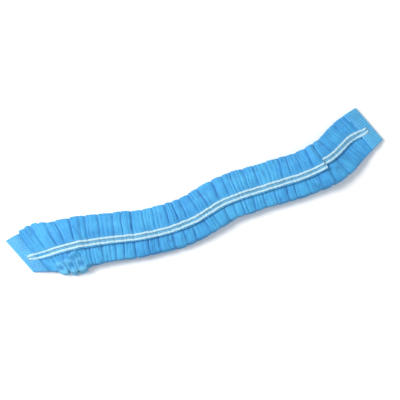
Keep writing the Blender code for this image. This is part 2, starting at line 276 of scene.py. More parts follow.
puckers = {
    "pitch": 6.6,
    "crest": 0.4,  # place of the crest in its pucker
    "height": 0.62,  # half of crest to valley, where the cloth is free
    "atThreads": 0.4,  # share of it along the threads, at the long edges and beside the welds
    "atEdge": 0.7,
    "atWeld": 0.65,
    "quietRun": 2.6,  # from beside the threads to the full height
    "roundness": 0.3,  # share of a crest that is round; the rest is flat
    "flatness": 8,  # the power that the flat part falls with
    "lean": 0.10,  # of a crest over the valley before it, in pitches
    "scallop": 0.42,  # how far a crest pushes the long edge out
    "edgeShare": 0.25,  # of the half width, over which a pucker evens out
    "depths": (0.55, 1.1),  # least and greatest, for front and back by themselves
    "sideRun": 6,  # across, from the front's depth to the back's
    "creaseFrom": (0.27, 0.62),  # where the two small creases of each pucker may lie
    "creaseTo": (0.38, 0.73),
    "creaseDepth": 0.5,  # as a share of the pucker's height
    "creaseWidth": 0.026,  # in pitches
    "creaseRarity": 1.3,  # a greater power leaves fewer deep ones
    "wander": 0.75,  # along the strip, of the whole and, finer, of its parts
    "wanderWaves": (22, 60),
    "wanderAcross": 0.8,
    "fineWander": 0.35,
    "fineWaves": (9, 16),
    "crumple": 0.20,  # up and down
    "crumpleWaves": (7, 19),
    "crumpleAcross": 1.6,
}
# Sines over the puckers' numbers, which make their lengths and heights uneven: the size,
# rate and start of each
uneven = {"pitch": ((0.20, 2.4, 0), (0.12, 5.1, 1)), "height": ((0.22, 1.7, 0.5),)}
seeds = {
    "puckers": 11, "crumple": 12, "wander": 13, "fineWander": 14, "folds": 31,
    "weld": 51, "sway": 61, "ownSway": 63, "hem": 71, "hemShadowDots": 5,
}
# Where each pucker's columns of points stand, in pitches
columnPlaces = {
    "valley": (0, 0.025, 0.06, 0.12, 0.2),
    "besideCrease": (-0.03, 0, 0.03),
    "crest": (0.5,),
    "nextValley": (0.8, 0.88, 0.94, 0.975),
}


def unevenly(name, number):
    # one plus a few sines of the number
    return 1 + sum(size * np.sin(rate * number + start) for size, rate, start in uneven[name])


def puckerColumns():
    # valleys at uneven distances; every pucker has as many columns between them
    first, last = strip["weldLength"], strip["length"] - strip["weldLength"]
    count = round((last - first) / puckers["pitch"])
    number = np.arange(count)
    pitches = unevenly("pitch", number)
    valleys = first + (last - first) * np.concatenate([[0], np.cumsum(pitches)]) / pitches.sum()
    random = np.random.default_rng(seeds["puckers"])
    creases = random.uniform(puckers["creaseFrom"], puckers["creaseTo"], (count, 2))
    places = {name: np.tile(place, (count, 1)) for name, place in columnPlaces.items()}
    firstCrease, secondCrease = (creases[:, [which]] + places["besideCrease"] for which in (0, 1))
    phase = [places["valley"], firstCrease, places["crest"], secondCrease, places["nextValley"]]
    phase = np.concatenate(phase, axis=1)
    x = (valleys[:-1, None] + phase * np.diff(valleys)[:, None]).ravel()
    # two more columns at each end, which run into the weld
    grip = np.array([strip["weldGrip"], strip["weldGrip"] / 2])
    index = np.concatenate([[0, 0], np.repeat(number, phase.shape[1]), [count - 1] * 3])
    return SimpleNamespace(
        x=np.concatenate([first - grip, x, [last], last + grip[::-1]]),
        phase=np.concatenate([[0, 0], phase.ravel(), [1, 1, 1]]),
        span=np.diff(valleys)[index],
        size=unevenly("height", index),
        creaseAt=creases[index].T,
        creaseFront=random.uniform(0, 1, (2, count))[:, index] ** puckers["creaseRarity"],
        creaseBack=random.uniform(0, 1, (2, count))[:, index] ** puckers["creaseRarity"],
        depthFront=random.uniform(*puckers["depths"], count)[index],
        depthBack=random.uniform(*puckers["depths"], count)[index],
    )


def alongStrip(columns):
    # everything that changes along the strip, at each column
    x = columns.x
    share = x / strip["length"]
    fromWeld = np.minimum(x, strip["length"] - x) - strip["weldLength"]
    rise = smoothStep(fromWeld / strip["endRun"])
    high = 1 + (through(course, "height", share) - 1) * rise
    step = 0 * x
    for at, half, back in zip(tucks["along"], tucks["halfLength"], tucks["step"]):
        step = step + back * strip["width"] * smoothStep((share - at) / half)
    threadHeight = strip["threadHeight"] * blend(strip["threadFlat"], 1, rise)
    halfWidth = strip["width"] / 2 * through(course, "width", share)
    dropEnd = strip["dropEdge"] * halfWidth - strip["dropMargin"]
    weld = strip["weldHeight"]
    return SimpleNamespace(
        **vars(columns),
        share=share,
        rise=rise,
        envelope=blend(puckers["atWeld"], 1, rise) * np.where(fromWeld < 0, 0, 1),
        halfWidth=halfWidth,
        dropRun=strip["dropShare"] * (dropEnd - strip["hemReach"]),
        front=blend(weld, strip["height"] * high, rise),
        back=blend(weld, strip["backHeight"] * high, rise),
        floor=strip["weldCover"] * (1 - np.clip(fromWeld / strip["weldGrip"], 0, 1)),
        threadHeight=threadHeight,
        lift=np.where(fromWeld < 0, 0, strip["floorGap"] + threadHeight + strip["threadGap"]),
        step=step * (1 - smoothStep((share - strip["stepEnd"]) / strip["stepEndRun"])),
    )


def tuckShape(along, across):
    # rounded ridges, which run slantwise in front of the hem: height and lean
    inFront = np.minimum(across + strip["hemReach"], 0) / strip["length"]
    height, lean = 0, 0
    names = ("along", "height", "halfLength", "slant", "lean")
    for at, tall, half, slant, top in zip(*(tucks[name] for name in names)):
        ridge = np.clip(1 - np.abs(along.share - slant * inFront - at) / half, 0, 1)
        ridge = np.sin(ridge * math.pi / 2) ** tuckForm["sharpness"]
        height = height + tall * strip["height"] * ridge
        lean = lean + top * ridge
    return height * along.rise, lean * along.rise


def slantFold(along, across):
    # two soft lines on the first tuck, its crest and its left foot, in front of the hem, which are painted as
    # a highlight and a shade
    at, half, slant = (tucks[name][0] for name in ("along", "halfLength", "slant"))
    fromHem = -(across + strip["hemReach"])
    away = (along.share + slant * np.maximum(fromHem, 0) / strip["length"] - at) / half
    seen = along.rise * smoothStep(fromHem)
    crest = bell(away - tuckForm["crestAt"], tuckForm["crestWidth"])
    return seen * crest, seen * bell(away - tuckForm["footAt"], tuckForm["footWidth"])


def frillLobes(along, edge):
    # whether a column lies in the lobes of an edge, from 0 to 1, and its place in its lobe
    turn = (along.x - frills["start"][edge]) / frills["pitch"][edge]
    fromLast = frills["count"][edge] - turn
    return smoothStep(turn / frills["endRun"]) * smoothStep(fromLast / frills["endRun"]), turn % 1


def frillReach(along, edge):
    # one minus a power of the distance from the lobe's middle
    inside, turn = frillLobes(along, edge)
    lobe = 1 - np.abs(2 * turn - 1) ** frills["roundness"]
    return inside * (frills["out"][edge] * lobe - frills["inward"][edge])


def frillShift(along, across):
    # along the strip: each lobe bulges both ways, so that the necks between them are narrow
    total = 0
    for edge, side in (("front", -1), ("back", 1)):
        inside, turn = frillLobes(along, edge)
        near = smoothStep(1 - (along.halfWidth - side * across) / frills["edgeRun"])
        total = total - frills["neck"][edge] * np.sin(turn * math.tau) * inside * near
    return total


def frillHollows(along, across):
    # a round hollow in the middle of each front lobe, the ring round it, and the creases
    # between the lobes
    inside, turn = frillLobes(along, "front")
    fromEdge = across + along.halfWidth + frillReach(along, "front")
    long = (turn - 0.5) / frills["dimpleLong"]
    wide = (fromEdge - frills["dimpleAt"]) / frills["dimpleWide"]
    away = np.hypot(long, wide)
    ring = bell(away - frills["ringAt"], frills["ringWidth"])
    fromHem = -(across + strip["hemReach"])
    crease = bell(np.minimum(turn, 1 - turn), frills["creaseLong"])
    crease = crease * smoothStep(fromHem / frills["creaseRun"])
    return inside * bell(away), inside * ring, inside * crease


def puckerCrest(along, across):
    # 0 in a valley and 1 on a crest: one minus a square and a high power of the distance
    # from the crest, less two small creases; front and back differ in depth
    crest, soft = puckers["crest"], puckers["roundness"]
    away = np.where(along.phase < crest, 1 - along.phase / crest, (along.phase - crest) / (1 - crest))
    toBack = smoothStep(across / puckers["sideRun"] + 0.5)
    fall = soft * away**2 + (1 - soft) * away ** puckers["flatness"]
    fall = fall * blend(along.depthFront, along.depthBack, toBack)
    for at, front, back in zip(along.creaseAt, along.creaseFront, along.creaseBack):
        dent = bell(along.phase - at, puckers["creaseWidth"])
        fall = fall + puckers["creaseDepth"] * blend(front, back, toBack) * dent
    return 1 - fall


def puckerWave(along, across):
    # about -1 in a valley and 1 on a crest, less near the welds
    return (2 * puckerCrest(along, across) - 1) * along.size * along.envelope


def freedom(along, across):
    # held down along the threads, fully free between them and the long edges, and partly
    # evened out again at the edges
    fromThreads = np.abs(across + strip["threadOffset"] - along.step)
    fromThreads = fromThreads - (strip["threadSpacing"] + strip["threadWidth"]) / 2
    free = blend(puckers["atThreads"], 1, smoothStep(fromThreads / puckers["quietRun"]))
    fromEdge = 1 - np.abs(across) / along.halfWidth
    return free * blend(1, puckers["atEdge"], smoothStep(1 - fromEdge / puckers["edgeShare"]))


# The sheet

cloth = {
    "thickness": 0.2,
    "layers": 11,
    "crown": 0.16,  # how much lower the pack is at its long edges
    "crownPower": 4,
    "crownReach": 1.1,  # half widths from the middle, where it falls no more
    "edgeWander": 0.3,
    "edgeWaves": (9, 30),
    "hemWander": 0.13,
    "hemWaves": (2.4, 5),
    "foldLimit": 0.6,  # largest radius of a fold
    "foldRows": 3,  # of the uppermost fold
    "rimRow": 1.2,  # from the lowest layer's front to its next row
    "rowsBesideHem": (0.0, 0.45, 1.0, 2.05, 3.1, 3.9, 4.8),  # on the hem, from its edge
    "rowsBelowHem": (-1.3, -0.7, -0.25, 0.4),  # on the layer below, from the hem's edge
    "stepShare": 0.4,  # of the threads' step, for a row behind them on that layer
    "openRows": 8,  # of the rest of both layers
}
topLayer = cloth["layers"] - 1
# The folds of each long edge, at two depths in the pack: how far they reach, in half widths,
# and their part of the ruffles.
folds = {
    "front": {"depth": (0.125, 0.625), "reach": (0.99, 1.01), "part": (1, 0.4)},
    "back": {"depth": (0.375, 0.875), "reach": (1, 0.99), "part": (0.9, 0.8)},
}


def layerHeight(along, layer, across):
    # floor + the pack's height shared out between the layers, less the crown's fall, + the
    # lower threads' lift, + the nested puckers, tucks and hollows, which grow from the lowest
    # layer up
    depth = layer / topLayer
    thick = cloth["thickness"]
    down = smoothStep((across - strip["hemReach"]) / along.dropRun)
    behind = down if layer else 0
    fromMiddle = np.clip(np.abs(across) / along.halfWidth, 0, cloth["crownReach"])
    crown = 1 - cloth["crown"] * along.rise * fromMiddle ** cloth["crownPower"]
    front = (along.front - thick) * depth
    back = (along.back - thick) * max(layer - 1, 0) / (topLayer - 1)
    over = (across - strip["rampStart"]) / (strip["rampEnd"] - strip["rampStart"])
    over = smoothStep(over) * (1 - down)
    bumps = puckers["height"] * puckerWave(along, across) * freedom(along, across)
    square = across * puckers["crumpleAcross"]
    soft = softNoise(along.x, square, puckers["crumpleWaves"], seeds["crumple"])
    bumps = bumps + puckers["crumple"] * soft * along.rise
    dimple, ring, crease = frillHollows(along, across)
    bumps = bumps + tuckShape(along, across)[0] + frills["ring"] * ring
    bumps = bumps - (frills["dimple"] * dimple + frills["crease"] * crease) * along.front / topLayer
    return (
        along.floor
        + thick / 2
        + blend(front, back, behind) * crown
        + along.lift * over * (1 - strip["liftLoss"] * along.rise * depth)
        + depth * bumps
    )


def layerShift(along, layer, across):
    # along the strip: a crest leans back over its valley, a tuck leans forward, most at its
    # front, and the front and back halves of a pucker wander apart
    depth = layer / topLayer
    free = freedom(along, across)
    lean = -puckers["lean"] * along.span * puckerCrest(along, across) * free * along.envelope
    toBack = smoothStep((across - tuckForm["leanStart"]) / tuckForm["leanRun"])
    tuckLean = tuckShape(along, across)[1] * (1 - tuckForm["leanLoss"] * toBack)
    whole = softNoise(along.x, across * puckers["wanderAcross"], puckers["wanderWaves"], seeds["wander"])
    fine = softNoise(along.x, across, puckers["fineWaves"], seeds["fineWander"])
    wander = puckers["wander"] * (whole + puckers["fineWander"] * fine) * free * along.rise
    return depth * (lean + tuckLean) + wander + frillShift(along, across)


def foldEdge(along, fold):
    # how far a fold's straight part reaches: the half width, less the fold's own radius,
    # pushed out by its ruffle and frills, scalloped by the puckers, with a wander of its own
    depth = (fold + 0.5) / topLayer
    edge, side = ("front", -1) if fold % 2 == 0 else ("back", 1)
    table = folds[edge]
    reach, part = (np.interp(depth, table["depth"], table[name]) for name in ("reach", "part"))
    own = softNoise(along.x, 0, cloth["edgeWaves"], seeds["folds"] + fold)
    return (
        along.halfWidth * (reach + part * through(ruffles, edge, along.share))
        - along.front / topLayer / 2
        + puckers["scallop"] * puckerWave(along, side * along.halfWidth)
        + cloth["edgeWander"] * own * along.rise
        + frillReach(along, edge)
    )


def between(start, end, count):
    # rows evenly from one place to another, without the last
    return list(start + (end - start) * (np.arange(count) / count)[:, None])


def rowPlaces(along, layer):
    # a layer's rows of points, from its front to its back
    even = np.ones_like(along.x)
    front = -foldEdge(along, layer if layer % 2 == 0 else layer - 1)
    back = foldEdge(along, layer - 1 if layer % 2 == 0 else layer)
    lowerHem = strip["hemReach"] * even
    ramp = [strip["rampStart"] * even, strip["rampEnd"] * even]
    if layer == 0:
        return [front, front + cloth["rimRow"], *ramp, lowerHem]
    fraying = softNoise(along.x, 0, cloth["hemWaves"], seeds["hem"])
    upperHem = along.step - strip["hemReach"] + cloth["hemWander"] * fraying * along.envelope
    if layer == topLayer:
        held = [upperHem + far for far in cloth["rowsBesideHem"]]
        return [*held[:-1], *between(held[-1], back, cloth["openRows"]), back]
    if layer == topLayer - 1:
        seen = [upperHem + far for far in cloth["rowsBelowHem"]]
        afterRamp = ramp[1] + cloth["stepShare"] * along.step
        behind = [afterRamp, lowerHem, lowerHem + along.dropRun, back]
        return [*between(front, seen[0], cloth["openRows"]), *seen, *behind]
    return [front, *ramp, lowerHem, lowerHem + along.dropRun, back]


def sheetRows(along):
    # the whole sheet, from the lower hem's edge up to the upper one: each layer runs back
    # over the last, and a half circle of rows joins them; atFront marks the front folds' rows
    across, height, shift, atFront = [], [], [], []
    for layer in range(cloth["layers"]):
        rows = rowPlaces(along, layer)
        rows = rows[::-1] if layer % 2 == 0 else rows
        for place in rows:
            across.append(place)
            height.append(layerHeight(along, layer, place))
            shift.append(layerShift(along, layer, place))
            atFront.append(place is (rows[-1] if layer % 2 == 0 else rows[0]))
        if layer == topLayer:
            break
        side = -1 if layer % 2 == 0 else 1
        edge, low = across[-1], height[-1]
        high = layerHeight(along, layer + 1, edge)
        bulge = np.minimum((high - low) / 2, cloth["foldLimit"])
        rowsHere = cloth["foldRows"] if layer == topLayer - 1 else 1
        for turn in math.pi * (np.arange(1, rowsHere + 1) / (rowsHere + 1) - 0.5):
            across.append(edge + side * bulge * math.cos(turn))
            height.append(blend(low, high, 0.5 + 0.5 * math.sin(turn)))
            shift.append(shift[-1])
            atFront.append(side < 0)
    return np.array(across), np.array(height), np.array(shift), np.array(atFront)


def thickSheet(middle, thick):
    # both faces of a surface, half the thickness from its middle along its normals,
    # closed by a rim; the points come back with the quads that join them
    acrossRows, alongRows = np.gradient(middle, axis=0), np.gradient(middle, axis=1)
    normal = np.cross(alongRows, acrossRows)
    normal = normal / np.maximum(np.linalg.norm(normal, axis=-1, keepdims=True), 1e-9)
    points = np.concatenate([(middle + normal * thick / 2), (middle - normal * thick / 2)])
    return points.reshape(-1, 3), closedQuads(*middle.shape[:2])


def closedQuads(rows, columns):
    # two grids of points that lie over each other, and the rim between them
    index = np.arange(2 * rows * columns).reshape(2, rows, columns)
    quads = []
    for side in (index[0], index[1][::-1]):
        corners = [side[:-1, :-1], side[:-1, 1:], side[1:, 1:], side[1:, :-1]]
        quads.append(np.stack(corners, axis=-1).reshape(-1, 4))
    for edge in (index[:, :, 0], index[:, ::-1, -1], index[:, 0, ::-1], index[:, -1]):
        quads.append(np.stack([edge[0, :-1], edge[0, 1:], edge[1, 1:], edge[1, :-1]], axis=-1))
    return np.concatenate(quads)


def meshPiece(name, points, faces, uv, material):
    # points and uv are in mm; uv becomes the map "cloth", which is in centimetres
    mesh = bpy.data.meshes.new(name)
    mesh.from_pydata((points + offset) * mm, [], faces)
    layer = mesh.uv_layers.new(name="cloth")
    corners = np.empty(len(mesh.loops), int)
    mesh.loops.foreach_get("vertex_index", corners)
    layer.data.foreach_set("uv", (uv[corners] / 10).astype(np.float32).ravel())
    mesh.polygons.foreach_set("use_smooth", np.ones(len(mesh.polygons), bool))
    work = bmesh.new()
    work.from_mesh(mesh)
    bmesh.ops.recalc_face_normals(work, faces=work.faces)
    work.to_mesh(mesh)
    work.free()
    mesh.materials.append(material)
    piece = bpy.data.objects.new(name, mesh)
    bpy.context.scene.collection.objects.link(piece)
    return piece


def flatLength(middle, axis):
    # how far each row or column lies from the first, measured along the surface
    steps = np.linalg.norm(np.diff(middle, axis=axis), axis=-1).mean(axis=1 - axis)
    return np.concatenate([[0], np.cumsum(steps)])


welds = {
    "columns": (0, 0.02, 0.06, 0.14, 0.25, 0.36, 0.48, 0.6, 0.75, 0.9, 0.98, 1),  # from the cut
    "rows": 31,
    "rounding": 0.35,  # radius of its edges
    "sideHeight": 0.55,  # share of the height where the rounding starts
    "undercut": 0.12,  # share of the height that the lower edges are rounded by
    "ripple": 0.10,
    "rippleWaves": (3, 9),
    "rippleAlong": 0.3,
    "sidePaint": 0.3,  # how much of the face's dots and colour its sides have
}


def weldSurface(side):
    # a thin slab with rounded edges: full height next to the layers, thinner at the cut
    length, long, radius = strip["length"], strip["weldLength"], welds["rounding"]
    fromCut = long * np.array(welds["columns"])
    x = fromCut if side < 0 else length - fromCut
    share = np.sin(np.linspace(-0.5, 0.5, welds["rows"]) * math.pi)  # closer at the edges
    across = weldHalfWidth(x)[None, :] * share[:, None]
    place = np.broadcast_to(x, across.shape)
    top = blend(strip["weldRim"], weldTop, np.clip(fromCut / strip["weldSlope"], 0, 1))
    edge = np.minimum(1, np.minimum(fromCut, long - fromCut)[None, :] / radius)
    edge = edge * np.minimum(1, (1 - np.abs(share)) * strip["width"] / 2 / radius)[:, None]
    rounded = np.sqrt(1 - (1 - edge) ** 2)
    ripple = softNoise(place * welds["rippleAlong"], across, welds["rippleWaves"], seeds["weld"])
    upper = top * blend(welds["sideHeight"], 1, rounded) + welds["ripple"] * ripple * edge
    lower = welds["undercut"] * (1 - rounded) * top
    points = np.concatenate([onCourse(place, across, upper), onCourse(place, across, lower)])
    uv = np.stack([place, across], axis=-1).reshape(-1, 2)
    onFace = np.tile(blend(welds["sidePaint"], 1, edge.ravel()), 2)
    return points.reshape(-1, 3), closedQuads(*across.shape), np.concatenate([uv, uv + weldTop]), onFace


# How strongly the cloth is painted, and how wide: painted shade, painted highlights, the band and the pale
# cut
painted = {
    "bandRun": 1.1,  # from a pair's middle threads outwards
    "bandStart": 1.2,  # along a weld, before the threads' ends
    # how wide the painted shade below the hem is
    "hemRun": 0.8,
    "hemLeast": 0.35,  # of the shade below the hem, which comes and goes
    # the painted shade below the hem comes and goes in dark dots at this pitch
    "dotPitch": 2.9,
    "dotWander": 3,
    "dotWaves": (8, 20),
    # painted shade in the frills' dimples, between the lobes and at the first tuck's foot
    "dimple": 0.9,
    "crease": 0.7,
    "foot": 0.8,
    # painted highlight on the first tuck's crest and on the rings round the dimples
    "crest": 0.8,
    "ring": 0.8,
    "cut": 0.8,
    "cutRun": 0.8,
}


def sheetPaints(along, across, atFront):
    # valley: painted shade, deepest in a pucker's valley; band: the greyish strip between the threads;
    # then painted shade below the hem and in the frills' hollows, and painted highlight on the frills' edges,
    # rings and crest
    top = slice(len(across) - len(rowPlaces(along, topLayer)), None)
    end = top.start - cloth["foldRows"]
    below = slice(end - len(rowPlaces(along, topLayer - 1)), end)
    band, under = 0 * across, 0 * across
    fromPair = np.abs(across[top] + strip["threadOffset"] - along.step) - strip["threadSpacing"] / 2
    band[top] = 1 - smoothStep(fromPair / painted["bandRun"])
    # painted shade just below the upper hem, in dark dots that come and go
    fromHem = across[below] + strip["hemReach"] - along.step
    wander = painted["dotWander"] * softNoise(along.x, 0, painted["dotWaves"], seeds["hemShadowDots"])
    hemShadowDots = 0.5 + 0.5 * np.sin(along.x * math.tau / painted["dotPitch"] + wander)
    under[below] = bell(fromHem, painted["hemRun"]) * blend(painted["hemLeast"], 1, hemShadowDots)
    # painted shade in the frills' hollows and at the first tuck's foot; painted highlight on the rings and
    # the first tuck's crest
    dimple, ring, crease = frillHollows(along, across)
    crest, foot = slantFold(along, across)
    hollowShade = painted["dimple"] * dimple + painted["crease"] * crease + painted["foot"] * foot
    raisedHighlight = painted["ring"] * ring + painted["crest"] * crest
    return {
        # painted shade, deepest in a pucker's valley
        "valley": (1 - puckerCrest(along, across)) * freedom(along, across) * along.envelope,
        "band": band,
        # painted shade below the hem and in the frills' hollows
        "under": np.maximum(under, hollowShade),
        # painted highlight on the front folds' edges within the lobes, the rings and the first tuck's crest;
        # pale at the welds' cut
        "rim": np.maximum(raisedHighlight, atFront[:, None] * frillLobes(along, "front")[0]),
        "weld": 0 * across,
    }


def weldPaints(uv, onFace):
    # the band goes on to the threads' ends on the upper face; both faces are pale at the cut
    x, across = uv[: len(uv) // 2].T
    fromPair = np.abs(across + strip["threadOffset"]) - strip["threadSpacing"] / 2
    fromCut = np.minimum(x, strip["length"] - x)
    started = (fromCut - strip["threadInset"] + painted["bandStart"]) / painted["bandStart"]
    band = (1 - smoothStep(fromPair / painted["bandRun"])) * smoothStep(started)
    cut = painted["cut"] * (1 - smoothStep(fromCut / painted["cutRun"]))
    return {
        "valley": 0 * onFace,
        "band": np.concatenate([band, 0 * band]),
        "under": 0 * onFace,
        "rim": np.tile(cut, 2),
        "weld": onFace,
    }


def buildCloth(along, material):
    # the folded sheet and its two welds in one piece, with a value from 0 to 1 at each point
    # for each of the paints that the material reads, and the sheet's size when it is flat
    across, height, shift, atFront = sheetRows(along)
    middle = onCourse(along.x + shift, across, height)
    middle[..., 2] = np.maximum(middle[..., 2], cloth["thickness"] / 2)
    points, quads = thickSheet(middle, cloth["thickness"])
    uv = np.stack(np.meshgrid(flatLength(middle, 1), flatLength(middle, 0)), axis=-1).reshape(-1, 2)
    uv = np.concatenate([uv, uv])
    paints = sheetPaints(along, across, atFront)
    paints = {name: np.tile(values.ravel(), 2) for name, values in paints.items()}
    for side in (-1, 1):
        more, faces, place, onFace = weldSurface(side)
        quads = np.concatenate([quads, faces + len(points)])
        points, uv = np.concatenate([points, more]), np.concatenate([uv, place])
        added = weldPaints(place, onFace)
        paints = {name: np.concatenate([values, added[name]]) for name, values in paints.items()}
    piece = meshPiece("cap_cloth", points, quads.tolist(), uv, material)
    for name, values in paints.items():
        layer = piece.data.attributes.new(name, "FLOAT", "POINT")
        layer.data.foreach_set("value", np.clip(values, 0, 1).astype(np.float32))
    flat = flatLength(middle, 1)[-1] * mm, flatLength(middle, 0)[-1] * mm
    print(f"cloth: {len(quads) * 2} triangles, {flat[0]:.3f} by {flat[1]:.3f} m when flat")
    return piece, flat


# The elastic threads

elastic = {
    "sides": 10,
    "spacing": 0.45,  # between sections in the welds
    "lumps": 0.08,  # share of the width
    "lumpPitch": 2.9,
    "sway": 0.15,
    "swayWaves": (5, 12),
    "ownSway": 0.6,  # of one thread by itself, as a share of the pair's
    "ownWaves": (4, 9),
    "sink": 0.12,  # into the cloth that it is bonded to
    "endTaper": 1.1,
    "endShare": 0.25,  # of its width, at its ends
    "endStart": 0.04,
    "pinch": {"left": 0.65, "right": 0.35},  # how much closer the ends of a pair lie
    "pinchRun": 4,
}


def tube(x, across, height, wide, tall):
    # an oval ring at each section, and a flat cap at each end
    turn = np.arange(elastic["sides"]) * math.tau / elastic["sides"]
    rings = onCourse(
        x[:, None] + 0 * turn,
        across[:, None] + wide[:, None] / 2 * np.cos(turn),
        height[:, None] + tall[:, None] / 2 * np.sin(turn),
    )
    count, sides = rings.shape[:2]
    index = np.arange(count * sides).reshape(count, sides)
    beside = np.roll(index, -1, axis=1)
    quads = np.stack([index[:-1], beside[:-1], beside[1:], index[1:]], axis=-1).reshape(-1, 4)
    faces = [*quads.tolist(), index[0, ::-1].tolist(), index[-1].tolist()]
    lengthwise = np.repeat(flatLength(rings, 0), sides)
    return rings.reshape(-1, 3), faces, np.stack([lengthwise, np.tile(2 * turn, count)], axis=-1)


def atStations(along, x):
    # the strip's values, read between its columns
    read = {
        name: np.squeeze([np.interp(x, along.x, row) for row in np.atleast_2d(value)])
        for name, value in vars(along).items()
    }
    return SimpleNamespace(**{**read, "x": x})


def threadStations(along, ends):
    # the cloth's own columns, so that a thread follows every pucker, and even steps in the welds
    x = along.x[(along.x > ends[0]) & (along.x < ends[1])]
    leadIn = np.arange(ends[0], x[0] - elastic["spacing"] / 2, elastic["spacing"])
    return np.concatenate([leadIn, x, strip["length"] - leadIn[::-1]])


def clothUnder(here, across):
    # the cloth's upper face, or the weld's where that is higher
    surface = layerHeight(here, topLayer, across) + cloth["thickness"] / 2
    return np.where(here.rise > 0, surface, np.maximum(surface, weldTop))


def buildElastic(name, along, side, upper, material):
    # one thread, which lies on the cloth or under it beside the other thread of its pair
    inset = strip["threadInset"] if upper else strip["weldLength"] + strip["threadGap"]
    ends = inset, strip["length"] - inset
    x = threadStations(along, ends)
    here = atStations(along, x)
    fromEnd = np.minimum(x - ends[0], ends[1] - x)
    lumps = 1 + elastic["lumps"] * np.sin(x * math.tau / elastic["lumpPitch"] + side)
    taper = np.sqrt(np.clip((fromEnd + elastic["endStart"]) / elastic["endTaper"], 0, 1))
    taper = blend(elastic["endShare"], 1, taper)
    wide, tall = strip["threadWidth"] * lumps * taper, here.threadHeight * taper
    sway = softNoise(x, 0, elastic["swayWaves"], seeds["sway"])
    sway = sway + elastic["ownSway"] * softNoise(x, 0, elastic["ownWaves"], seeds["ownSway"] + side)
    pinch = np.where(x < strip["length"] / 2, elastic["pinch"]["left"], elastic["pinch"]["right"])
    apart = strip["threadSpacing"] / 2 - pinch * (1 - smoothStep(fromEnd / elastic["pinchRun"]))
    across = side * apart + elastic["sway"] * sway * here.rise
    if upper:
        across = across - strip["threadOffset"] + here.step
        height = clothUnder(here, across) - elastic["sink"] + here.threadHeight / 2
        x = x + layerShift(here, topLayer, across)
    else:
        across = across + strip["threadOffset"]
        height = strip["floorGap"] + here.threadHeight / 2
    points, faces, uv = tube(x, across, height, wide, tall)
    return meshPiece(name, points, faces, uv, material)


# Materials

class Wire:
    # one output of a node; arithmetic on it adds Math nodes and gives a wire again
    def __init__(self, board, socket):
        self.board, self.socket = board, socket

    def math(self, operation, first, second=0.0):
        return self.board.node("ShaderNodeMath", {"operation": operation}, {0: first, 1: second})

    def __add__(self, other):
        return self.math("ADD", self, other)

    def __sub__(self, other):
        return self.math("SUBTRACT", self, other)

    def __rsub__(self, other):
        return self.math("SUBTRACT", other, self)

    def __mul__(self, other):
        return self.math("MULTIPLY", self, other)

    def __pow__(self, other):
        return self.math("POWER", self, other)

    def __abs__(self):
        return self.math("ABSOLUTE", self)

    __radd__ = __add__
    __rmul__ = __mul__


class Board:
    # a material's nodes: every node comes from node(), which returns one of its outputs
    def __init__(self, name, viewport):
        self.material = bpy.data.materials.new(name)
        self.material.use_nodes = True
        self.material.diffuse_color = (*viewport, 1)
        self.tree = self.material.node_tree
        self.shader = self.tree.nodes["Principled BSDF"]

    def node(self, kind, settings=None, inputs=None, output=0):
        made = self.tree.nodes.new(kind)
        for name, value in (settings or {}).items():
            setattr(made, name, value)
        for name, value in (inputs or {}).items():
            self.feed(made.inputs[name], value)
        return Wire(self, made.outputs[output])

    def feed(self, socket, value):
        if isinstance(value, Wire):
            self.tree.links.new(value.socket, socket)
        else:
            socket.default_value = value

    def finish(self, inputs):
        # the shader's own inputs, and the finished material
        for name, value in inputs.items():
            self.feed(self.shader.inputs[name], value)
        return self.material

    def ramp(self, value, low, high, start, end):
        # start below low, end above high, and a smooth step between them
        inputs = {"Value": value, "From Min": low, "From Max": high, "To Min": start, "To Max": end}
        return self.node("ShaderNodeMapRange", {"interpolation_type": "SMOOTHSTEP"}, inputs)

    def mix(self, share, first, second):
        # a Mix node's colour inputs are its seventh and eighth, and its third output is theirs
        return self.node("ShaderNodeMix", {"data_type": "RGBA"}, {0: share, 6: first, 7: second}, 2)

    def noise(self, vector, scale, detail, **more):
        inputs = {"Vector": vector, "Scale": scale, "Detail": detail}
        return self.node("ShaderNodeTexNoise", None, {**inputs, **more})

    def stretch(self, vector, scale, degrees=0):
        inputs = {"Vector": vector, "Rotation": (0, 0, math.radians(degrees)), "Scale": scale}
        return self.node("ShaderNodeMapping", {"vector_type": "POINT"}, inputs)

    def bump(self, height, strength, distance):
        inputs = {"Height": height, "Strength": strength, "Distance": distance}
        return self.node("ShaderNodeBump", None, inputs, "Normal")


def rgba(red, green, blue):
    return (red, green, blue, 1)


